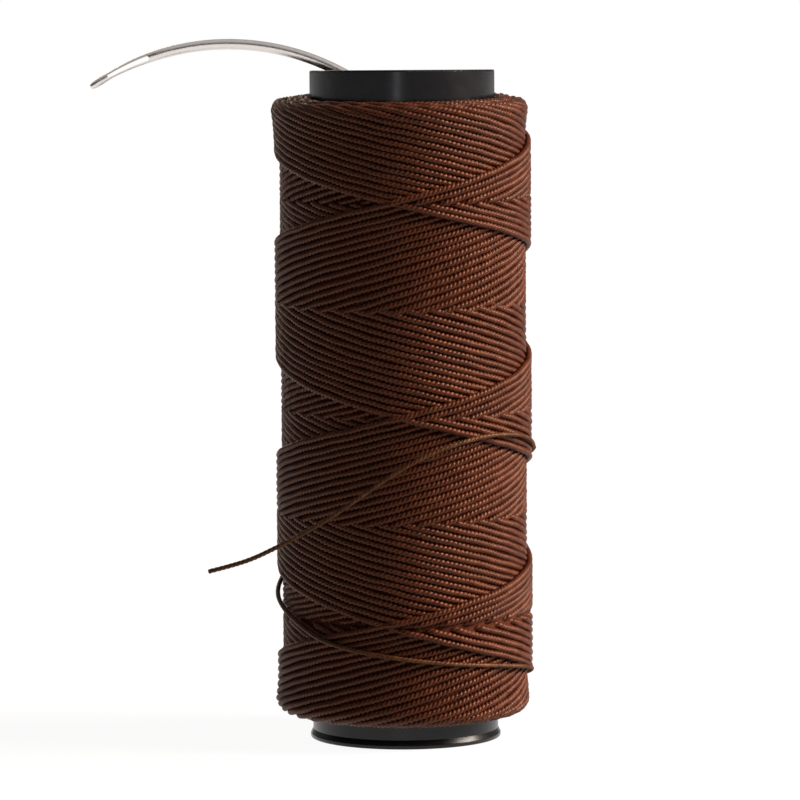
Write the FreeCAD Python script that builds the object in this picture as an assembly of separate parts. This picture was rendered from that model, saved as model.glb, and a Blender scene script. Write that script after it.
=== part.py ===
import FreeCAD, Part
import math
import os

os.makedirs("parts", exist_ok=True)

# A spool of waxed thread: a moulded tube, the thread cross-wound on it in a package, and a curved
# needle kept in the top of the tube. Millimetres, +Z up. The origin is on the tube's axis, in the plane
# of its foot. The front is -Y. An angle is measured round the axis from the front towards +X.

# Spool tube
spool_height = 67.1
spindle_bore_radius = 7.85
pocket_step = 0.5               # how much wider the upper bore is, in which the needle is kept
pocket_depth = 17.1             # from the top of the tube to the ledge where the spindle bore ends
top_wall = 0.9                  # wall thickness at the top
draft = 0.1                     # how much the foot's radius exceeds the top's
foot_flare = 0.25               # how far the foot stands out past the tube
foot_land = 0.4                 # height of the flare's straight rim
foot_height = 0.9               # height at which the flare meets the tube
rim_round = 0.18

# Waxed thread
thread_dia = 0.7
bare_foot = 2.2                 # height of the tube left bare under the package
bare_top = 2.15                 # and above it
core_depth = 1.35               # inner layers, from the tube outwards
package_clearance = 0.03        # between the tube and the package's bore
end_fall = 0.3                  # how far an end face falls away from tube to edge
package_round = 0.8
lay_gap = 0.1                   # between the inner layers and the first turns on them
crossing_gap = 0.47             # between two turns that cross
swell_reach = 0.35              # the newest turns push the package's middle aside by as much
swell_height = 20.8             # height in which it swells to one side, to the other and back
swell_low = 2.4                 # height where it is furthest to the first side
swell_angle = -100.0            # the first side, from the axis
swell_steps = 8                 # sections in that height
turnaround_inset = 1.2          # from an end of the package to the turns that reverse there
rise_quarters = 12              # quarter turns in a traverse up the package
fall_quarters = 11              # and in one down it
round_trips = 4                 # traverses up and down
newest_start_angle = 180.0      # where the last traverse leaves the foot of the package
vacant_quarters = 8             # start of the first traverse, left out where the slack turn lies

# The last turn, worked loose: angle and height of its points, one each quarter turn
slack_lift = 0.4                # from the outside of the turns to the slack turn's centre line
slack_angles = [45.0, -45.0, -135.0, -225.0]
slack_heights = [8.3, 11.4, 18.7, 27.0]
slack_end_angle = -270.0
slack_end_height = 29.2

# The free end, after a first run that leaves the slack turn in line with it: round the right of the
# package, then off it to the lower left, held out by its wax
loose_first_run = 2.8
loose_end_points = [
    (12.25, -5.40, 30.70),
    (10.75, -8.10, 31.30),
    (8.50, -10.45, 31.50),
    (5.95, -12.10, 31.05),
    (3.30, -13.20, 30.15),
    (0.75, -13.85, 28.95),
    (-1.85, -14.15, 27.30),
    (-4.45, -14.25, 25.50),
    (-7.10, -14.25, 23.75),
    (-9.75, -14.10, 22.20),
    (-12.40, -13.85, 20.90),
    (-14.90, -13.50, 19.65),
    (-17.20, -13.15, 18.85),
    (-19.20, -12.80, 18.25),
]

# Curved needle, in a plane just behind the axis; its angles are measured from straight up, towards +X
needle_bend_radius = 24.1
needle_plane_y = 0.6
rim_clearance = 0.27            # between the needle and the edge of the tube that it passes over
rim_crossing_angle = 23.15      # place along the bend that passes over that edge
needle_head_angle = -34.6
needle_point_angle = 69.0
needle_dia = 1.05
needle_point_dia = 0.12
needle_taper_length = 8.0
taper_fullness = 1.5            # over 1, the taper is fuller next to the shank
head_round = 0.35               # length over which the head rounds off
head_width = 0.66               # at the head's end, from where the needle widens to its eye
eye_from_head = 2.0             # from the head's end to the eye
eye_length = 4.6
eye_head_width = 0.3            # the eye is narrower towards the head
eye_width = 0.46
eye_flat_width = 0.98           # the needle is rolled flat round its eye
eye_flat_thickness = 0.66
eye_blend = 1.5                 # from the flat to the round shank
shank_sections = 12
oval_margin = 0.01              # keeps the round sections true ovals for the loft

pocket_radius = spindle_bore_radius + pocket_step
ledge_height = spool_height - pocket_depth
tube_top_radius = pocket_radius + top_wall
tube_foot_radius = tube_top_radius + draft

winding_low = bare_foot
winding_high = spool_height - bare_top
core_radius = tube_foot_radius + core_depth
lower_turn_radius = core_radius + lay_gap + thread_dia / 2
upper_turn_radius = lower_turn_radius + thread_dia + crossing_gap
slack_radius = upper_turn_radius + thread_dia / 2 + slack_lift

rim_edge_x = -math.sqrt(pocket_radius ** 2 - needle_plane_y ** 2)
rim_edge_reach = needle_bend_radius - needle_dia / 2 - rim_clearance
needle_centre_x = rim_edge_x - rim_edge_reach * math.sin(math.radians(rim_crossing_angle))
needle_centre_z = spool_height - rim_edge_reach * math.cos(math.radians(rim_crossing_angle))


def place(radius, angle, height):
    # a point on a circle round the axis
    turn = math.radians(angle)
    return FreeCAD.Vector(radius * math.sin(turn), -radius * math.cos(turn), height)


def package_middle(height):
    # the middle of the package, which swells to one side and the other by turns
    wave = math.cos(2 * math.pi * (height - swell_low) / swell_height)
    return place(swell_reach * wave, swell_angle, height)


def on_package(radius, angle, height):
    return place(radius, angle, 0) + package_middle(height)


def heading(angle, radius, height, rise_per_degree):
    # the thread is laid towards smaller angles, and climbs by this much each degree
    turn = math.radians(angle)
    climb = rise_per_degree * 180 / math.pi / radius
    leaning = package_middle(height + 0.05) - package_middle(height - 0.05)
    around = FreeCAD.Vector(-math.cos(turn), -math.sin(turn), 0)
    return (around + leaning * (climb / 0.1)).normalize()


def tube_radius_at(height):
    return tube_foot_radius - draft * height / spool_height


def tangent_arc(start, corner, end):
    # the arc that leaves start towards corner and arrives at end from corner, both as far from it
    half = (corner - start).getAngle(end - corner) / 2
    if half < 1e-4:
        return Part.LineSegment(start, end).toShape()
    middle = (start + end) * 0.5
    bulge = math.cos(half) / (1 + math.cos(half))
    return Part.Arc(start, middle + (corner - middle) * bulge, end).toShape()


def biarc(start, leave, end, arrive):
    # two arcs that meet smoothly between two points with these directions
    span = end - start
    both = leave + arrive
    across = span.dot(both)
    spread = 2 * (1 - leave.dot(arrive))
    if spread < 1e-9:
        reach = span.dot(span) / (2 * across)
    else:
        reach = (math.sqrt(across * across + spread * span.dot(span)) - across) / spread
    first = start + leave * reach
    second = end - arrive * reach
    join = (first + second) * 0.5
    return [tangent_arc(start, first, join), tangent_arc(join, second, end)]


def thread_along(edges, start, leave):
    # a round thread swept along a path of lines and arcs
    path = Part.Wire(edges)
    section = Part.Wire([Part.Circle(start, leave, thread_dia / 2).toShape()])
    return path.makePipeShell([section], True, False), path


def turns_through(knots):
    # knots are (radius, angle, height, rise per degree); both ends run straight for one diameter
    points = [on_package(radius, angle, height) for radius, angle, height, rise in knots]
    ways = [heading(angle, radius, height, rise) for radius, angle, height, rise in knots]
    first = points[0] + ways[0] * thread_dia
    last = points[-1] - ways[-1] * thread_dia
    edges = [Part.LineSegment(points[0], first).toShape()]
    stops = [first] + points[1:-1] + [last]
    for index in range(len(stops) - 1):
        edges += biarc(stops[index], ways[index], stops[index + 1], ways[index + 1])
    edges.append(Part.LineSegment(last, points[-1]).toShape())
    return thread_along(edges, points[0], ways[0])


def least_gap(path, step=0.35):
    # the least distance between turns, measured on points along the path, less the thread itself
    points = path.discretize(Distance=step)
    cell = 2 * thread_dia + crossing_gap
    apart = int(4 * thread_dia / step)
    grid = {}
    for index, point in enumerate(points):
        key = (int(point.x // cell), int(point.y // cell), int(point.z // cell))
        grid.setdefault(key, []).append(index)
    least = 10 * cell
    for (column, row, level), members in grid.items():
        near = []
        for column_step in (-1, 0, 1):
            for row_step in (-1, 0, 1):
                for level_step in (-1, 0, 1):
                    near += grid.get((column + column_step, row + row_step, level + level_step), [])
        for index in members:
            for other in near:
                if other - index > apart:
                    least = min(least, (points[index] - points[other]).Length)
    return least - thread_dia


def report_thread(name, solid, path):
    section = math.pi * thread_dia ** 2 / 4
    share = solid.Volume / (section * path.Length)
    print(name, "length", round(path.Length, 1), "volume over section times length", round(share, 4))


def edge_at(edge, circles):
    # true for a full circle round the axis with one of these radii and heights
    if not isinstance(edge.Curve, Part.Circle):
        return False
    centre_height = edge.Curve.Center.z
    for radius, height in circles:
        if math.isclose(edge.Curve.Radius, radius) and math.isclose(centre_height, height, abs_tol=1e-6):
            return True
    return False


def turned(outline):
    # a ring with this outline of (radius, height), round the axis
    corners = [FreeCAD.Vector(radius, 0, height) for radius, height in outline]
    section = Part.Face(Part.makePolygon(corners + [corners[0]]))
    return section.revolve(FreeCAD.Vector(0, 0, 0), FreeCAD.Vector(0, 0, 1), 360)


def rounded_at(ring, circles, radius):
    return ring.makeFillet(radius, [edge for edge in ring.Edges if edge_at(edge, circles)])


def make_spool_tube():
    foot_radius = tube_foot_radius + foot_flare
    tube = turned([
        (spindle_bore_radius, 0),
        (foot_radius, 0),
        (foot_radius, foot_land),
        (tube_radius_at(foot_height), foot_height),
        (tube_top_radius, spool_height),
        (pocket_radius, spool_height),
        (pocket_radius, ledge_height),
        (spindle_bore_radius, ledge_height),
    ])
    rims = [(foot_radius, 0), (foot_radius, foot_land), (tube_top_radius, spool_height),
            (pocket_radius, spool_height)]
    return rounded_at(tube, rims, min(rim_round, 0.45 * foot_land, 0.45 * top_wall))


def make_inner_winding():
    # a swelling body, cut to the package's bore and to its two end faces
    count = round(swell_steps * (winding_high - winding_low) / swell_height)
    sections = []
    for index in range(count + 1):
        height = winding_low + (winding_high - winding_low) * index / count
        circle = Part.Circle(package_middle(height), FreeCAD.Vector(0, 0, 1), core_radius)
        sections.append(Part.Wire([circle.toShape()]))
    package = Part.makeLoft(sections, True, False)
    beyond = core_radius + 2 * swell_reach
    fall = end_fall * (beyond - tube_top_radius) / core_depth
    room = turned([
        (tube_radius_at(winding_low) + package_clearance, winding_low),
        (beyond, winding_low + fall),
        (beyond, winding_high - fall),
        (tube_radius_at(winding_high) + package_clearance, winding_high),
    ])
    package = package.common(room)
    sides = [face for face in package.Faces if face.Area > 0.5 * package.Area]
    rims = [edge for face in sides for edge in face.Edges if edge.BoundBox.ZLength < 2 * end_fall]
    return package.makeFillet(min(package_round, 0.5 * (core_depth - swell_reach)), rims)


def traverse_knots():
    # Each round trip climbs on the upper radius and comes down on the lower one, so that turns which
    # cross stay apart. Points lie a quarter turn apart, an eighth of a turn from each reversal.
    low = winding_low + turnaround_inset + thread_dia
    high = winding_high - turnaround_inset - thread_dia
    rise = (high - low) / (90.0 * (rise_quarters - 1))
    fall = (low - high) / (90.0 * (fall_quarters - 1))
    trip = 90.0 * (rise_quarters + fall_quarters)
    knots = []
    for number in range(round_trips):
        start = newest_start_angle + trip * (round_trips - number)
        for quarter in range(rise_quarters):
            laid = 45.0 + 90.0 * quarter
            knots.append((upper_turn_radius, start - laid, low + rise * (laid - 45.0), rise))
        top = start - 90.0 * rise_quarters
        for quarter in range(fall_quarters):
            laid = 45.0 + 90.0 * quarter
            knots.append((lower_turn_radius, top - laid, high + fall * (laid - 45.0), fall))
    knots.append((upper_turn_radius, newest_start_angle - 45.0, low, rise))
    return knots[vacant_quarters:]


def slack_knots():
    # the slack turn begins where the outer turns end
    radius, angle, height, rise = traverse_knots()[-1]
    angles = [angle] + slack_angles + [slack_end_angle]
    heights = [height] + slack_heights + [slack_end_height]
    knots = [(radius, angle, height, rise)]
    for index in range(1, len(angles) - 1):
        rise = (heights[index + 1] - heights[index - 1]) / (angles[index - 1] - angles[index + 1])
        knots.append((slack_radius, angles[index], heights[index], rise))
    last_rise = (heights[-1] - heights[-2]) / (angles[-2] - angles[-1])
    knots.append((slack_radius, angles[-1], heights[-1], last_rise))
    return knots


def make_turns(name, knots):
    solid, path = turns_through(knots)
    report_thread(name, solid, path)
    print(name, "least gap to itself", round(least_gap(path), 3))
    return solid


def cord_path(points):
    # straight runs joined by arcs, each as large as its two runs allow
    edges = []
    radii = []
    here = points[0]
    for index in range(1, len(points) - 1):
        before = points[index] - points[index - 1]
        after = points[index + 1] - points[index]
        half = before.getAngle(after) / 2
        setback = 0.45 * min(before.Length, after.Length)
        radii.append(setback / math.tan(half))
        arc_start = points[index] - before.normalize() * setback
        arc_end = points[index] + after.normalize() * setback
        edges.append(Part.LineSegment(here, arc_start).toShape())
        edges.append(tangent_arc(arc_start, points[index], arc_end))
        here = arc_end
    edges.append(Part.LineSegment(here, points[-1]).toShape())
    return edges, radii


def make_loose_end():
    radius, angle, height, rise = slack_knots()[-1]
    start = on_package(radius, angle, height)
    leave = heading(angle, radius, height, rise)
    points = [start, start + leave * loose_first_run]
    points += [FreeCAD.Vector(*point) for point in loose_end_points]
    edges, radii = cord_path(points)
    solid, path = thread_along(edges, start, leave)
    report_thread("loose_end", solid, path)
    print("loose_end first points", [[round(value, 3) for value in point] for point in points[:2]])
    print("loose_end radii", [round(radius, 1) for radius in radii])
    return solid


def needle_point(angle, offset=0.0):
    # a point of the needle's bend, with an offset outwards from its centre
    turn = math.radians(angle)
    radius = needle_bend_radius + offset
    return FreeCAD.Vector(needle_centre_x + radius * math.sin(turn), needle_plane_y,
                          needle_centre_z + radius * math.cos(turn))


def needle_section(angle, width, thickness):
    # an oval square to the bend; its width lies in the plane of the bend
    centre = needle_point(angle)
    outwards = needle_point(angle, 1.0) - centre
    sideways = FreeCAD.Vector(0, 1, 0)
    along = outwards.cross(sideways)
    if width >= thickness:
        major, minor, first = width / 2, thickness / 2, outwards
    else:
        major, minor, first = thickness / 2, width / 2, sideways
    oval = Part.Ellipse(centre + first * major, centre + along.cross(first) * minor, centre)
    return Part.Wire([oval.toShape()])


def needle_stations(length):
    # (distance from the head's end, width, thickness) of each section
    eye_end = eye_from_head + eye_length
    shank_start = eye_end + eye_blend
    taper_start = length - needle_taper_length
    stations = []
    for share in (0.1, 0.35, 1.0):
        fullness = math.sqrt(1 - (1 - share) ** 2)
        stations.append((head_round * share, head_width * fullness, eye_flat_thickness * 0.9 * fullness))
    widening = (eye_flat_width - head_width) / (eye_end - head_round)
    for distance in (eye_from_head, (eye_from_head + eye_end) / 2, eye_end):
        width = head_width + widening * (distance - head_round)
        stations.append((distance, width, eye_flat_thickness))
    for index in range(shank_sections + 1):
        distance = shank_start + (taper_start - shank_start) * index / shank_sections
        stations.append((distance, needle_dia + oval_margin, needle_dia))
    for share in (0.35, 0.7, 0.9, 1.0):
        width = needle_dia + (needle_point_dia - needle_dia) * share ** taper_fullness
        stations.append((taper_start + needle_taper_length * share, width + oval_margin, width))
    return stations


def make_curved_needle():
    degrees_per_mm = 180 / (math.pi * needle_bend_radius)
    length = (needle_point_angle - needle_head_angle) / degrees_per_mm
    sections = [needle_section(needle_head_angle + distance * degrees_per_mm, width, thickness)
                for distance, width, thickness in needle_stations(length)]
    needle = Part.makeLoft(sections, True, False)
    near = eye_head_width / 2
    far = eye_width / 2
    mean = (near + far) / 2
    low = needle_head_angle + (eye_from_head + near) * degrees_per_mm
    high = needle_head_angle + (eye_from_head + eye_length - far) * degrees_per_mm
    middle = (low + high) / 2
    low_end = needle_point(low - near * degrees_per_mm)
    high_end = needle_point(high + far * degrees_per_mm)
    eye = Part.Wire([
        Part.Arc(needle_point(low, near), needle_point(middle, mean), needle_point(high, far)).toShape(),
        Part.Arc(needle_point(high, far), high_end, needle_point(high, -far)).toShape(),
        Part.Arc(needle_point(high, -far), needle_point(middle, -mean), needle_point(low, -near)).toShape(),
        Part.Arc(needle_point(low, -near), low_end, needle_point(low, near)).toShape(),
    ])
    through = FreeCAD.Vector(0, 2 * needle_dia, 0)
    cutter = Part.Face(eye)
    cutter.translate(through * -0.5)
    needle = needle.cut(cutter.extrude(through))
    lowest = needle.BoundBox.ZMin
    print("curved_needle length along the bend", round(length, 1), "lowest point", round(lowest, 2))
    return needle


def write(name, shape):
    solids = shape.Solids
    print(name, "solids", len(solids), "valid", shape.isValid(), "volume", round(shape.Volume, 1))
    shape.exportStep("parts/" + name + ".step")


write("spool_tube", make_spool_tube())
write("inner_winding", make_inner_winding())
write("outer_winding", make_turns("outer_winding", traverse_knots()))
write("slack_turn", make_turns("slack_turn", slack_knots()))
write("loose_end", make_loose_end())
write("curved_needle", make_curved_needle())
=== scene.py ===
import math

import bmesh
import bpy
import numpy as np
from mathutils import Matrix, Vector


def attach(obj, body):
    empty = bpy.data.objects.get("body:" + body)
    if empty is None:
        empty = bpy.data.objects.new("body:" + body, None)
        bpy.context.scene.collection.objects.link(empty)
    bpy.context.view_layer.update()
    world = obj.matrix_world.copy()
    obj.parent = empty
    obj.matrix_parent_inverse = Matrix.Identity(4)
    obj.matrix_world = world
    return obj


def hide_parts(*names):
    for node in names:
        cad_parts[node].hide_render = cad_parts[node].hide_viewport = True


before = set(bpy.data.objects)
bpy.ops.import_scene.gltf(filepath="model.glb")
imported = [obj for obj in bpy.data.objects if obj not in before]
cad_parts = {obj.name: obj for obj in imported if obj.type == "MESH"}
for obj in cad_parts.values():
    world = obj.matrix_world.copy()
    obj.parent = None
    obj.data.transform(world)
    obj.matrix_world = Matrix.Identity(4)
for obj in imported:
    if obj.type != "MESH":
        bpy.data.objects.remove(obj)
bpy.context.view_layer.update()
scene = bpy.context.scene
mm = 0.001
fullTurn = 2 * math.pi

# Angles go round the spool's axis from the front (-Y) towards +X, and sizes are in millimetres until
# a mesh or a curve is made.


def toLinear(hexColour):
    # sRGB hex to the linear colour that the shaders take
    channels = [int(hexColour[i:i + 2], 16) / 255 for i in (0, 2, 4)]
    linear = [c / 12.92 if c <= 0.04045 else ((c + 0.055) / 1.055) ** 2.4 for c in channels]
    return (*linear, 1.0)


def addNode(material, kind, settings=None, links=None):
    # settings are the node's own properties or the values of its sockets, links are socket: source
    node = material.node_tree.nodes.new(kind)
    for name, value in (settings or {}).items():
        if name in node.inputs:
            node.inputs[name].default_value = value
        else:
            setattr(node, name, value)
    for name, source in (links or {}).items():
        material.node_tree.links.new(source, node.inputs[name])
    return node


def newMaterial(name):
    material = bpy.data.materials.new(name)
    material.use_nodes = True
    material.node_tree.nodes.clear()
    return material


def place(piece, body, slotName, material, replaced=()):
    scene.collection.objects.link(piece)
    piece.data.materials.clear()
    piece.data.materials.append(material)
    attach(piece, body)
    if replaced:
        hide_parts(*replaced)
    return piece


# Camera

photoView = {
    "distance": 430.0,      # from the spool's axis
    "height": 67.1,         # level with the tube's rim
    "lookDown": 4.402,      # degrees
    "aside": 0.051,         # turned a little to the left
    "lean": -0.353,         # the spool leans to the left in the picture
    "lens": 192.93,
}


def makeCamera():
    lens = bpy.data.cameras.new("photo_camera")
    lens.lens = photoView["lens"]
    lens.sensor_width = 36.0
    lens.clip_start = 0.01
    lens.clip_end = 20.0
    camera = bpy.data.objects.new("photo_camera", lens)
    scene.collection.objects.link(camera)
    turn = (Matrix.Rotation(math.radians(photoView["aside"]), 4, "Z")
            @ Matrix.Rotation(math.radians(90 - photoView["lookDown"]), 4, "X")
            @ Matrix.Rotation(math.radians(photoView["lean"]), 4, "Z"))
    spot = Matrix.Translation((0, -photoView["distance"] * mm, photoView["height"] * mm))
    camera.matrix_world = spot @ turn
    scene.camera = camera


makeCamera()
print("camera done")


# Waxed thread, as it is spun: three plies twisted round each other and pressed together by the wax

thread = {
    "diameter": 0.72,
    "lay": 1.42,            # length in which a ply goes once round
    "groove": 0.76,         # radius between two plies, as a share of the radius on a ply
    "shoulder": 0.94,       # and halfway to the groove
    "step": 0.19,           # between two rings of the mesh
    "loose": 0.5,           # diameter where nothing presses it flat against other turns
}


def plySection(name, diameter):
    # the thread's cross section, as a closed outline for the curves' bevel
    outline = bpy.data.curves.new(name, "CURVE")
    outline.dimensions = "2D"
    spline = outline.splines.new("POLY")
    shares = [1.0, thread["shoulder"], thread["groove"], thread["shoulder"]] * 3
    spline.points.add(len(shares) - 1)
    for index, share in enumerate(shares):
        turn = -fullTurn * index / len(shares)
        radius = diameter / 2 * share * mm
        spline.points[index].co = (radius * math.cos(turn), radius * math.sin(turn), 0, 1)
    spline.use_cyclic_u = True
    section = bpy.data.objects.new(name, outline)
    scene.collection.objects.link(section)
    return section


def along(points):
    # distance along a run of points
    steps = np.linalg.norm(np.diff(points, axis=0), axis=1)
    return np.concatenate([[0.0], np.cumsum(steps)])


def spinThreads(name, runs, section):
    # a mesh of twisted threads along runs of points in millimetres, each with the twist it starts at
    curve = bpy.data.curves.new(name, "CURVE")
    curve.dimensions = "3D"
    curve.bevel_mode = "OBJECT"
    curve.bevel_object = section
    curve.use_fill_caps = True
    curve.twist_mode = "Z_UP"
    for points, phase in runs:
        spline = curve.splines.new("POLY")
        spline.points.add(len(points) - 1)
        homogeneous = np.ones((len(points), 4))
        homogeneous[:, :3] = points * mm
        spline.points.foreach_set("co", homogeneous.ravel())
        tilts = phase - fullTurn * along(points) / thread["lay"]
        spline.points.foreach_set("tilt", tilts)
    maker = bpy.data.objects.new(name + "_path", curve)
    scene.collection.objects.link(maker)
    bpy.context.view_layer.update()
    spun = bpy.data.meshes.new_from_object(maker.evaluated_get(bpy.context.evaluated_depsgraph_get()))
    bpy.data.objects.remove(maker)
    bpy.data.curves.remove(curve)
    spun.name = name
    spun.shade_smooth()
    return bpy.data.objects.new(name, spun)


# The package of thread. A traverse laid up the package and one laid down it cross each other, and
# each new turn lies beside the one before, so that the newest ones run over all others.

package = {
    "lead": 20.78,          # height that a thread gains in a full turn
    "side": 30,             # threads side by side in one lead
    "leads": 3,
    "low": 2.38,            # heights where the threads turn back, without the rounding
    "fold": 0.67,           # rounding of a turn back
    "radius": 11.74,        # to the middle of the oldest threads that show
    "layer": 0.55,          # thickness that one layer adds
    "newest": math.radians(170),    # angle at which the newest threads turn back: behind
    "footEdge": 1.25,       # rounding of the package's two edges
    "topEdge": 0.95,
    "edgeInset": 0.13,      # from the middle of the outermost turn back to the end of that rounding
    "footSwell": 0.26,      # the ends are a little thicker, over this height
    "topSwell": 0.31,
    "swellHeight": 3.6,
    "topDrop": 0.1,        # the threads turn back a little lower than their slope would have them
    "footDrop": 0.0,
    # the turns lie a little lower at the front than behind, more so towards the top
    "footTilt": 0.015,
    "topTilt": 0.05,
    # height, and how far the rising and the falling threads stray from their slope there
    "risingDrift": [(2.4, 0.0), (9.2, 0.6), (20.0, -0.2), (29.7, -0.1), (39.9, -0.3),
                    (50.1, 0.5), (60.4, 0.3), (64.7, 0.0)],
    "fallingDrift": [(2.4, 0.0), (7.0, -0.45), (16.9, 0.0), (28.5, 0.1), (37.6, 0.2),
                     (48.6, 0.7), (58.3, 0.1), (64.7, 0.0)],
    "wander": 0.035,        # how far a thread strays sideways, and the lengths of its waves
    "waves": (23.0, 9.0, 4.1),
    "outWander": 0.5,       # share of that by which it strays outwards, along a run this long
    "outRun": 60.0,
    "seed": 7,
}

buried = {
    # crossings that a thread runs on out of sight: before it comes up, the same at an end, and after
    "before": 2.3,
    "beforeAtEnd": 3.2,
    "after": 2.4,
    # the crossing where it begins to come up, and how many crossings that takes
    "riseAtEnd": (-0.8, 1.6),
    "riseOfRising": (-1.1, 1.0),
    "riseOfFalling": (-0.1, 1.0),
}

halfLead = package["lead"] / 2
high = package["low"] + package["lead"] * package["leads"]
beside = math.pi / package["side"]      # turn between two crossings along a thread
chance = np.random.default_rng(package["seed"])


def eased(share):
    share = np.clip(share, 0, 1)
    return share * share * (3 - 2 * share)


def drift(slope, height):
    # how far the rising (slope 1) or the falling threads stray from their slope at a height
    table = np.array(package["risingDrift" if slope == 1 else "fallingDrift"])
    index = np.clip(np.searchsorted(table[:, 0], height) - 1, 0, len(table) - 2)
    share = (height - table[index, 0]) / (table[index + 1, 0] - table[index, 0])
    return table[index, 1] + (table[index + 1, 1] - table[index, 1]) * eased(share)


def rotationAt(height):
    return fullTurn * (height - package["low"]) / package["lead"]


def layerHeight(angle, height):
    # how much thread lies at a place, above the oldest that shows
    risingAge = np.mod(angle - rotationAt(height - drift(1, height)) - package["newest"], fullTurn)
    fallingAge = np.mod(angle + rotationAt(height - drift(-1, height)) - package["newest"], fullTurn)
    return package["layer"] * (2 - (risingAge + fallingAge) / fullTurn)


highTurn = high - package["topDrop"] - package["fold"]      # middle of the outermost turns back
lowTurn = package["low"] - package["footDrop"] + package["fold"]


def folded(height):
    # a straight climb, turned back in a round fold at both ends of the package
    height = high - np.sqrt((high - height) ** 2 + package["fold"] ** 2)
    height = package["low"] + np.sqrt((height - package["low"]) ** 2 + package["fold"] ** 2)
    nearTop = np.clip(1 - (high - height) / halfLead, 0, 1)
    nearFoot = np.clip(1 - (height - package["low"]) / halfLead, 0, 1)
    return height - package["topDrop"] * nearTop ** 2 - package["footDrop"] * nearFoot ** 2


def edgeFall(height):
    # how far the package's side draws in at its rounded edges, less its swelling towards them
    atFoot = height < high / 2
    edge = np.where(atFoot, package["footEdge"], package["topEdge"])
    swell = np.where(atFoot, package["footSwell"], package["topSwell"])
    inside = np.minimum(height - lowTurn, highTurn - height) + package["edgeInset"]
    reach = np.clip(edge - inside, 0, edge)
    swelling = swell * eased(1 - inside / package["swellHeight"])
    return edge - np.sqrt(edge ** 2 - reach ** 2) - swelling


def tiltAt(height):
    share = np.clip(height / high, 0, 1)
    return package["footTilt"] + (package["topTilt"] - package["footTilt"]) * share


def around(angles, heights, radii):
    # points on the package, whose turns are tilted
    inDepth = -radii * np.cos(angles)
    return np.stack([radii * np.sin(angles), inDepth, heights + tiltAt(heights) * inDepth], axis=1)


def strayed(count, length):
    # a slow, smooth wander along a thread
    steps = np.linspace(0, length, count)
    sway = np.zeros(count)
    for wave in package["waves"]:
        sway += np.sin(steps / wave * fullTurn + chance.uniform(0, fullTurn)) * chance.uniform(0.3, 1)
    return sway * package["wander"]


def packageThread(slope, age, boundary):
    # One thread from where it comes to the surface, at a boundary half a lead from the next, to where
    # the newest turns cover it. slope is 1 for a rising thread and -1 for a falling one.
    atEnd = (boundary == 0 and slope == 1) or (boundary == 2 * package["leads"] and slope == -1)
    start = -buried["beforeAtEnd" if atEnd else "before"] * beside
    end = min(math.pi - age / 2 + buried["after"] * beside, math.pi + beside)
    radius = package["radius"] + package["layer"]
    count = int((end - start) * radius / thread["step"])
    turn = np.linspace(start, end, count)
    angles = package["newest"] + age + slope * boundary * math.pi + turn
    heights = package["low"] + (boundary + slope * turn / math.pi) * halfLead
    begin, span = buried["riseAtEnd" if atEnd else "riseOfRising" if slope == 1 else "riseOfFalling"]
    under = 1 - eased((turn / beside - begin) / span)
    lift = package["layer"] * (2 - (age + turn) / math.pi - under)
    heights = folded(heights + drift(slope, heights) + strayed(count, (end - start) * radius))
    bulge = strayed(count, package["outRun"]) * package["outWander"]
    radii = package["radius"] + lift - edgeFall(heights) + bulge
    return around(angles, heights, radii), chance.uniform(0, fullTurn)


def makePackageThreads(section):
    bands = []
    for band in range(2 * package["leads"]):
        runs = []
        for number in range(package["side"]):
            age = (number + 0.5) * 2 * beside
            runs.append(packageThread(1, age, band))
            runs.append(packageThread(-1, age, band + 1))
        bands.append(spinThreads(f"winding_band_{band + 1}", runs, section))
    return bands


def makeEndTurns(name, top, section):
    # the turns back of the older layers, which make the package's end face
    endFace = {
        "innermost": 9.72,
        "outermost": 12.3,
        "gain": 1.1,            # radius from one age of turns to the next older
        "reach": 3.4,           # length to either side of a turn back
        "slant": 0.33,          # and how far it slants inwards, over the length bent
        "bent": 1.2,
        "cone": 0.15,           # rise towards the tube
    }
    runs = []
    number = package["side"]
    while True:
        age = (number + 0.5) * 2 * beside
        radius = endFace["outermost"] - endFace["gain"] * age / fullTurn
        if radius < endFace["innermost"]:
            break
        count = int(2 * endFace["reach"] / thread["step"])
        reach = np.linspace(-endFace["reach"], endFace["reach"], count)
        slope = package["lead"] / (fullTurn * endFace["outermost"])
        drop = np.sqrt((slope * reach) ** 2 + package["fold"] ** 2) - package["fold"]
        rise = (endFace["outermost"] - radius) * endFace["cone"]
        if top:
            heights = highTurn + rise - drop
        else:
            heights = lowTurn - rise + drop
        radii = radius + endFace["slant"] * np.tanh(reach / endFace["bent"])
        angles = package["newest"] + age + reach / radius
        runs.append((around(angles, heights, radii), chance.uniform(0, fullTurn)))
        number += 1
    return spinThreads(name, runs, section)


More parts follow.
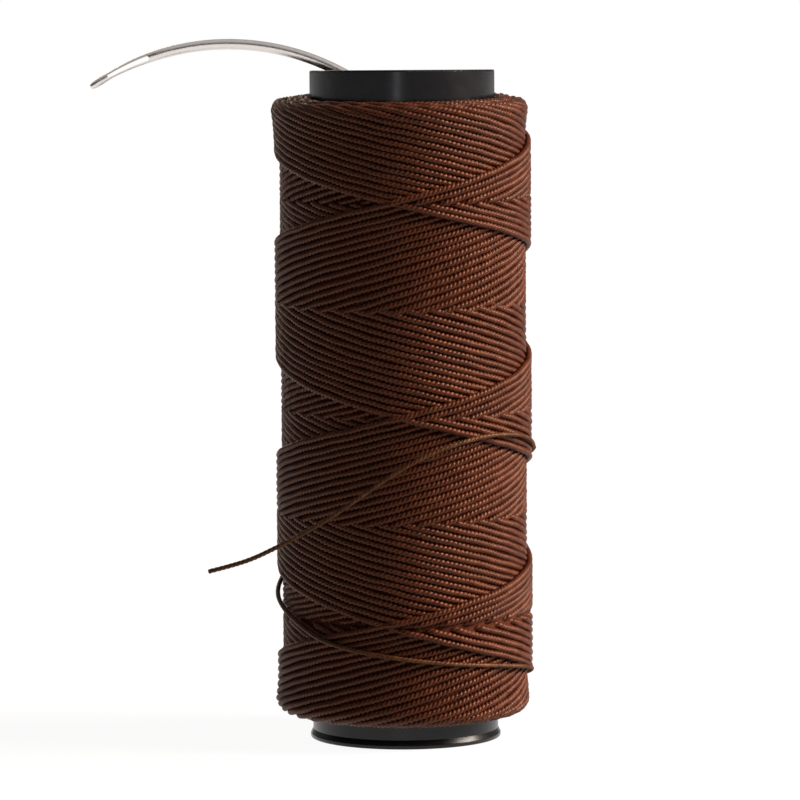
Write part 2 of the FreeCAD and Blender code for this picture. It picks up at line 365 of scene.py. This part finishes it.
def makePackageCore():
    # the hidden layers, just under the grooves between the threads that show
    core = {
        "inset": 0.14,          # under the middle of the lowest thread near by, this near:
        "aside": 0.06,          # radians
        "above": 0.7,
        "endInset": 0.05,
        "steps": 240,
        "rows": 124,
        "side": 11.0,           # radius before the side is shaped, and where the side begins
        "sideFrom": 10.5,
        "gap": 0.03,            # to the tube, whose radii and height follow
        "tubeFoot": 9.35,
        "tubeTop": 9.25,
        "tubeHeight": 67.1,
    }
    shape = bmesh.new()
    lowEnd = lowTurn + core["endInset"]
    highEnd = highTurn - core["endInset"]

    def bore(height):
        taper = (core["tubeTop"] - core["tubeFoot"]) * height / core["tubeHeight"]
        return core["tubeFoot"] + taper + core["gap"]

    outline = [(bore(lowEnd), lowEnd)]
    for row in range(core["rows"] + 1):
        outline.append((core["side"], lowEnd + (highEnd - lowEnd) * row / core["rows"]))
    outline.append((bore(highEnd), highEnd))
    corners = [shape.verts.new((radius * mm, 0, height * mm)) for radius, height in outline]
    edges = [shape.edges.new(pair) for pair in zip(corners, corners[1:] + corners[:1])]
    bmesh.ops.spin(shape, geom=corners + edges, axis=(0, 0, 1), cent=(0, 0, 0), angle=fullTurn,
                   steps=core["steps"], use_merge=True, use_duplicate=False)
    bmesh.ops.remove_doubles(shape, verts=shape.verts, dist=1e-6)
    for vertex in shape.verts:
        across = math.hypot(vertex.co.x, vertex.co.y)
        if across < core["sideFrom"] * mm:
            continue
        angle = math.atan2(vertex.co.x, -vertex.co.y)
        height = vertex.co.z / mm
        lift = min(float(layerHeight(angle + core["aside"] * aside, height + core["above"] * above))
                   for aside in (-1, 0, 1) for above in (-1, 0, 1))
        radius = package["radius"] + lift - float(edgeFall(np.array(height))) - core["inset"]
        vertex.co.x *= radius * mm / across
        vertex.co.y *= radius * mm / across
        vertex.co.z += float(tiltAt(height)) * vertex.co.y
    bmesh.ops.recalc_face_normals(shape, faces=shape.faces)
    made = bpy.data.meshes.new("package_core")
    shape.to_mesh(made)
    shape.free()
    made.shade_smooth()
    return bpy.data.objects.new("package_core", made)


# The last turn, worked loose: (angle in degrees, height, how far it stands off what it lies on)

slackTurn = {
    "knots": [(178, 2.9, 0.0), (168, 3.0, 0.0), (156, 3.4, 0.0), (140, 4.1, -0.1), (112, 5.6, -0.3),
              (85, 6.95, -0.36), (72, 7.6, -0.15), (47, 8.4, 0.0), (31, 8.5, 0.0), (17, 8.8, 0.0),
              (5, 9.3, 0.0), (-8, 9.7, 0.0), (-18, 9.9, 0.0), (-28, 10.2, 0.0), (-38, 10.8, 0.0),
              (-47, 11.3, 0.0), (-56, 11.9, 0.0), (-64, 12.5, 0.0), (-71, 13.1, 0.05), (-77, 13.65, 0.18),
              (-84, 14.2, 0.38), (-90, 14.75, 0.38), (-96, 15.45, 0.2), (-103, 16.1, 0.0),
              (-135, 19.0, 0.0), (-160, 21.1, 0.0), (-185, 23.1, 0.0), (-210, 25.1, 0.0),
              (-232, 26.8, 0.0), (-252, 28.2, 0.0), (-262, 28.8, 0.0), (-268, 29.15, 0.0)],
    "sink": 0.06,           # how deep a thread beds into the ones it crosses
    "tilted": 12.9,         # radius at which the knots' heights are measured
    "perTurn": 13.1 * 1.04, # length of thread in a radian
    "phase": 0.7,           # of its twist
    # smoothing passes
    "heightPasses": 900,
    "liftPasses": 150,
    "surfacePasses": 120,
    # the highest thread is looked for this near, in radians and millimetres
    "aside": 0.04,
    "above": 0.35,
}


def smoothed(values, passes):
    for _ in range(passes):
        inner = (values[:-2] + 2 * values[1:-1] + values[2:]) / 4
        values = np.concatenate([values[:1], inner, values[-1:]])
    return values


def makeSlackStrand(section):
    table = np.array(slackTurn["knots"], float)
    turn = np.radians(table[:, 0])
    direction = np.sign(turn[-1] - turn[0])
    count = int(abs(turn[-1] - turn[0]) * slackTurn["perTurn"] / thread["step"])
    angles = np.linspace(turn[0], turn[-1], count)
    heights = np.interp(angles * direction, turn * direction, table[:, 1])
    heights = smoothed(heights, slackTurn["heightPasses"])
    heights += tiltAt(heights) * slackTurn["tilted"] * np.cos(angles)
    lifts = np.interp(angles * direction, turn * direction, table[:, 2])
    lifts = smoothed(lifts, slackTurn["liftPasses"])
    surface = np.zeros(count)
    for aside in (-1, 0, 1):
        for above in (-1, 0, 1):
            beneath = layerHeight(angles + slackTurn["aside"] * aside, heights + slackTurn["above"] * above)
            surface = np.maximum(surface, beneath)
    clear = (thread["diameter"] + thread["loose"]) / 2 - slackTurn["sink"]
    radii = package["radius"] + surface + clear - edgeFall(heights)
    radii = smoothed(radii, slackTurn["surfacePasses"]) + lifts
    return spinThreads("slack_strand", [(around(angles, heights, radii), slackTurn["phase"])], section)


# The free end. Its route follows the CAD's within a third of a millimetre, in metres.

looseEnd = {
    "route": [(0.013, 0.0, 0.0292), (0.01295, -0.00274, 0.02978), (0.01225, -0.0054, 0.0307),
              (0.01075, -0.0081, 0.0312), (0.0085, -0.01045, 0.0313), (0.00595, -0.0121, 0.0308),
              (0.0033, -0.0132, 0.03), (0.00075, -0.01385, 0.02885), (-0.00185, -0.01415, 0.0273),
              (-0.00445, -0.01425, 0.0255), (-0.0071, -0.01425, 0.02368), (-0.00975, -0.0141, 0.0221),
              (-0.0124, -0.01385, 0.02075), (-0.0149, -0.0135, 0.01952), (-0.0172, -0.01315, 0.01878),
              (-0.0192, -0.0128, 0.01825)],
    "length": 0.0434,
    "diameter": 0.0005,
    "phase": 1.9,           # of its twist
}


def routeLine(name, route):
    # the smooth line that a cord follows, read from its NURBS spline
    curve = bpy.data.curves.new(name, "CURVE")
    curve.dimensions = "3D"
    spline = curve.splines.new("NURBS")
    spline.points.add(len(route) - 1)
    for point, place in zip(spline.points, route):
        point.co = (*place, 1)
    spline.order_u = 3
    spline.use_endpoint_u = True
    spline.resolution_u = 24
    holder = bpy.data.objects.new(name, curve)
    scene.collection.objects.link(holder)
    bpy.context.view_layer.update()
    line = bpy.data.meshes.new_from_object(holder.evaluated_get(bpy.context.evaluated_depsgraph_get()))
    points = np.array([vertex.co for vertex in line.vertices])
    bpy.data.meshes.remove(line)
    bpy.data.objects.remove(holder)
    bpy.data.curves.remove(curve)
    return points


def evenly(points, step):
    # the same line, with its points evenly spaced
    distance = along(points)
    stops = np.linspace(0, distance[-1], int(distance[-1] / step) + 1)
    return np.stack([np.interp(stops, distance, points[:, axis]) for axis in range(3)], axis=1)


def makeLooseEnd(section):
    line = evenly(routeLine("loose_end_route", looseEnd["route"]), thread["step"] * mm)
    piece = spinThreads("loose_thread_end", [(line / mm, looseEnd["phase"])], section)
    return piece, line


section = plySection("ply_section", thread["diameter"])
looseSection = plySection("loose_ply_section", thread["loose"])
looseThread, looseLine = makeLooseEnd(looseSection)
print("free end done", round(float(along(looseLine)[-1]), 4))


# Materials

threadColours = {
    "waxed_polyester_thread": {"dark": "4A2012", "usual": "602C18", "light": "784029"},
    # the slack turn and the free end, the same thread painted lighter and yellower: painted light for the
    # key light they catch
    "polyester_thread_painted_lit": {"dark": "54301C", "usual": "724629", "light": "946A43"},
}

threadFinish = {
    "patch": 0.9,           # size of the patches of colour, and of the fibres
    "fibre": 0.09,
    "strandShare": 0.22,    # how much the colour differs from thread to thread
    "stops": (0.36, 0.6, 0.86),
    "roughness": (0.3, 0.5),
    "relief": (0.3, 0.04),
    "specular": 0.5,
    "tint": "FFC8A8",
}


def addNoise(material, size, detail, source):
    return addNode(material, "ShaderNodeTexNoise", {"Scale": 1 / (size * mm), "Detail": detail},
                   {"Vector": source})


def addRange(material, ends, source):
    return addNode(material, "ShaderNodeMapRange", {"To Min": ends[0], "To Max": ends[1]}, {"Value": source})


def addRelief(material, relief, source):
    return addNode(material, "ShaderNodeBump", {"Strength": relief[0], "Distance": relief[1] * mm},
                   {"Height": source})


def threadMaterial(name):
    # waxed twisted polyester: dark brown plies whose wax catches the light in small bright spots
    colours = threadColours[name]
    material = newMaterial(name)
    where = addNode(material, "ShaderNodeTexCoord").outputs["Object"]
    patches = addNoise(material, threadFinish["patch"], 3.0, where)
    fibres = addNoise(material, threadFinish["fibre"], 2.0, where)
    strand = addNode(material, "ShaderNodeNewGeometry")
    mixed = addNode(material, "ShaderNodeMath", {"operation": "MULTIPLY_ADD"},
                    {"Value": strand.outputs["Random Per Island"]})
    mixed.inputs[1].default_value = threadFinish["strandShare"]
    material.node_tree.links.new(patches.outputs["Fac"], mixed.inputs[2])
    tones = addNode(material, "ShaderNodeValToRGB", links={"Fac": mixed.outputs[0]})
    ramp = tones.color_ramp
    low, middle, top = threadFinish["stops"]
    ramp.elements[0].position, ramp.elements[0].color = low, toLinear(colours["dark"])
    ramp.elements[1].position, ramp.elements[1].color = top, toLinear(colours["light"])
    ramp.elements.new(middle).color = toLinear(colours["usual"])
    roughness = addRange(material, threadFinish["roughness"], fibres.outputs["Fac"])
    bump = addRelief(material, threadFinish["relief"], fibres.outputs["Fac"])
    shader = addNode(material, "ShaderNodeBsdfPrincipled",
                     {"IOR": 1.5, "Specular IOR Level": threadFinish["specular"],
                      "Specular Tint": toLinear(threadFinish["tint"])},
                     {"Base Color": tones.outputs["Color"], "Roughness": roughness.outputs["Result"],
                      "Normal": bump.outputs["Normal"]})
    addNode(material, "ShaderNodeOutputMaterial", links={"Surface": shader.outputs["BSDF"]})
    return material


speckledLooks = {
    # the same thread in the grooves, where little light reaches, painted lighter and redder: painted bounce
    # light in the grooves
    "groove_thread_painted_bounce_light": {
        "colours": ("5C2A16", "74391F"), "grain": 0.5, "detail": 3.0,
        "settings": {"Roughness": 0.7, "Specular IOR Level": 0.2}},
    # injection moulded polystyrene: near black, glossy, with faint flow marks and scuffs
    "black_moulded_polystyrene": {
        "colours": ("0F0D10", "1B181B"), "grain": 1.3, "detail": 5.0,
        "roughness": (0.2, 0.34), "relief": (0.12, 0.05),
        "settings": {"IOR": 1.55, "Specular IOR Level": 0.3}},
    # carbon steel, nickel plated and tumbled to a soft shine, with fine marks along the bend
    "nickel_plated_needle_steel": {
        "colours": ("DDD4CF", "F0EAE6"), "grain": 0.35, "detail": 4.0,
        "roughness": (0.26, 0.4), "relief": (0.05, 0.02),
        "settings": {"Metallic": 1.0}},
}


def speckledMaterial(name):
    # two close colours in fine noise, which can also vary the gloss and the relief
    look = speckledLooks[name]
    material = newMaterial(name)
    where = addNode(material, "ShaderNodeTexCoord").outputs["Object"]
    specks = addNoise(material, look["grain"], look["detail"], where)
    tones = addNode(material, "ShaderNodeValToRGB", links={"Fac": specks.outputs["Fac"]})
    for element, colour in zip(tones.color_ramp.elements, look["colours"]):
        element.color = toLinear(colour)
    links = {"Base Color": tones.outputs["Color"]}
    if "relief" in look:
        links["Roughness"] = addRange(material, look["roughness"], specks.outputs["Fac"]).outputs["Result"]
        links["Normal"] = addRelief(material, look["relief"], specks.outputs["Fac"]).outputs["Normal"]
    shader = addNode(material, "ShaderNodeBsdfPrincipled", look["settings"], links)
    addNode(material, "ShaderNodeOutputMaterial", links={"Surface": shader.outputs["BSDF"]})
    return material


waxedThread = threadMaterial("waxed_polyester_thread")
# the lighter copy of the thread, with painted light, for the slack turn and the free end
paintedLitThread = threadMaterial("polyester_thread_painted_lit")
# the groove copy of the thread, with painted bounce light
grooveThreadPaintedBounce = speckledMaterial("groove_thread_painted_bounce_light")

place(looseThread, "spool", "waxed_thread", paintedLitThread, ["loose_end"])

bands = makePackageThreads(section)
for band in bands:
    place(band, "spool", "waxed_thread", waxedThread)
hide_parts("outer_winding")
print("package threads done", sum(len(band.data.polygons) for band in bands))

for name, top in (("end_turns_top", True), ("end_turns_bottom", False)):
    place(makeEndTurns(name, top, section), "spool", "waxed_thread", waxedThread)
place(makePackageCore(), "spool", "waxed_thread", grooveThreadPaintedBounce, ["inner_winding"])
place(makeSlackStrand(looseSection), "spool", "waxed_thread", paintedLitThread, ["slack_turn"])
print("package done")

for nodeName, materialName in (("spool_tube", "black_moulded_polystyrene"),
                               ("curved_needle", "nickel_plated_needle_steel")):
    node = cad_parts[nodeName]
    node.data.materials.clear()
    node.data.materials.append(speckledMaterial(materialName))

for outline in (section, looseSection):
    bpy.data.curves.remove(outline.data)


# Studio

studio = {
    "floorSize": 8.0,
    "floorSeen": "F4F3F1",      # the paper's colour to the camera, and what it throws back on the spool
    "floorBounce": "2E2B2A",
    "floorWhite": 0.86,         # how much of the floor that the camera and gloss see is plain white
    "floorGlow": 1.1,           # and how bright that white is
    "air": 0.011,               # light from all round
    # what gloss mirrors: the dim room ahead of the spool, the wall behind it and the light ceiling, and
    # between which directions (along Y and Z) each of the last two sets in
    "ahead": 0.02,
    "behind": 0.15,
    "behindFrom": (-0.1, 0.45),
    "above": 0.5,
    "aboveFrom": (0.4, 0.8),
    # name, direction it shines from, angle that it fills in degrees, strength, colour
    "suns": [
        ("key_light", (0.89, -0.07, 0.44), 26, 4.3, "FFF0E2"),
        ("back_light", (-0.30, 0.90, 0.42), 20, 0.4, "FFE2C4"),
    ],
    "frontLamp": {"spot": (-0.115, -1.1, 0.061), "aim": (0, 0, 0.034), "size": 0.02, "watts": 0.24,
                  "colour": "F0F6FF"},
}


def makeFloor():
    shape = bmesh.new()
    bmesh.ops.create_grid(shape, x_segments=1, y_segments=1, size=studio["floorSize"] / 2)
    floorMesh = bpy.data.meshes.new("floor")
    shape.to_mesh(floorMesh)
    shape.free()
    floor = bpy.data.objects.new("floor", floorMesh)
    scene.collection.objects.link(floor)
    # pale paper, mostly plain white to the camera and to what mirrors it, so that it keeps a soft shadow
    paper = newMaterial("pale_paper_sweep")
    rays = addNode(paper, "ShaderNodeLightPath")
    seen = addNode(paper, "ShaderNodeMath", {"operation": "MAXIMUM"})
    paper.node_tree.links.new(rays.outputs["Is Camera Ray"], seen.inputs[0])
    paper.node_tree.links.new(rays.outputs["Is Glossy Ray"], seen.inputs[1])
    share = addNode(paper, "ShaderNodeMath", {"operation": "MULTIPLY"})
    paper.node_tree.links.new(seen.outputs[0], share.inputs[0])
    share.inputs[1].default_value = studio["floorWhite"]
    tone = addNode(paper, "ShaderNodeMix", {"data_type": "RGBA"})
    tone.inputs["A"].default_value = toLinear(studio["floorBounce"])
    tone.inputs["B"].default_value = toLinear(studio["floorSeen"])
    paper.node_tree.links.new(seen.outputs[0], tone.inputs["Factor"])
    matt = addNode(paper, "ShaderNodeBsdfDiffuse")
    paper.node_tree.links.new(tone.outputs["Result"], matt.inputs["Color"])
    white = addNode(paper, "ShaderNodeEmission", {"Color": (1, 1, 1, 1), "Strength": studio["floorGlow"]})
    mix = addNode(paper, "ShaderNodeMixShader", links={"Fac": share.outputs[0]})
    paper.node_tree.links.new(matt.outputs[0], mix.inputs[1])
    paper.node_tree.links.new(white.outputs[0], mix.inputs[2])
    addNode(paper, "ShaderNodeOutputMaterial", links={"Surface": mix.outputs[0]})
    floorMesh.materials.append(paper)


def makeLamps():
    for name, direction, angle, strength, colour in studio["suns"]:
        sun = bpy.data.lights.new(name, "SUN")
        sun.angle = math.radians(angle)
        sun.energy = strength
        sun.color = toLinear(colour)[:3]
        holder = bpy.data.objects.new(name, sun)
        scene.collection.objects.link(holder)
        holder.rotation_euler = Vector(direction).to_track_quat("Z", "Y").to_euler()
    front = studio["frontLamp"]
    lamp = bpy.data.lights.new("front_lamp", "AREA")
    lamp.shape = "DISK"
    lamp.size = front["size"]
    lamp.energy = front["watts"]
    lamp.color = toLinear(front["colour"])[:3]
    holder = bpy.data.objects.new("front_lamp", lamp)
    scene.collection.objects.link(holder)
    holder.location = front["spot"]
    aim = Vector(front["aim"]) - Vector(front["spot"])
    holder.rotation_euler = aim.to_track_quat("-Z", "Y").to_euler()


def makeAir():
    # even light from all round; white to the camera, and to gloss as the studio notes say
    world = bpy.data.worlds.new("studio_air")
    scene.world = world
    world.use_nodes = True
    world.node_tree.nodes.clear()
    rays = addNode(world, "ShaderNodeLightPath")
    direction = addNode(world, "ShaderNodeTexCoord")
    split = addNode(world, "ShaderNodeSeparateXYZ", links={"Vector": direction.outputs["Generated"]})
    behind = addNode(world, "ShaderNodeMapRange",
                     {"From Min": studio["behindFrom"][0], "From Max": studio["behindFrom"][1],
                      "To Min": studio["ahead"], "To Max": studio["behind"]},
                     {"Value": split.outputs["Y"]})
    above = addNode(world, "ShaderNodeMapRange",
                    {"From Min": studio["aboveFrom"][0], "From Max": studio["aboveFrom"][1],
                     "To Min": 0.0, "To Max": studio["above"]},
                    {"Value": split.outputs["Z"]})
    either = addNode(world, "ShaderNodeMath", {"operation": "MAXIMUM"})
    world.node_tree.links.new(behind.outputs["Result"], either.inputs[0])
    world.node_tree.links.new(above.outputs["Result"], either.inputs[1])
    evenly = addNode(world, "ShaderNodeBackground", {"Color": (1, 1, 1, 1), "Strength": studio["air"]})
    mirrored = addNode(world, "ShaderNodeBackground", {"Color": (1, 1, 1, 1)},
                       {"Strength": either.outputs[0]})
    white = addNode(world, "ShaderNodeBackground", {"Color": (1, 1, 1, 1), "Strength": 1.0})
    glossy = addNode(world, "ShaderNodeMixShader", links={"Fac": rays.outputs["Is Glossy Ray"]})
    world.node_tree.links.new(evenly.outputs[0], glossy.inputs[1])
    world.node_tree.links.new(mirrored.outputs[0], glossy.inputs[2])
    straight = addNode(world, "ShaderNodeMath", {"operation": "MAXIMUM"})
    world.node_tree.links.new(rays.outputs["Is Camera Ray"], straight.inputs[0])
    world.node_tree.links.new(rays.outputs["Is Transmission Ray"], straight.inputs[1])
    last = addNode(world, "ShaderNodeMixShader", links={"Fac": straight.outputs[0]})
    world.node_tree.links.new(glossy.outputs[0], last.inputs[1])
    world.node_tree.links.new(white.outputs[0], last.inputs[2])
    addNode(world, "ShaderNodeOutputWorld", links={"Surface": last.outputs[0]})


makeFloor()
makeLamps()
makeAir()
scene.view_settings.view_transform = "Standard"
print("studio done")
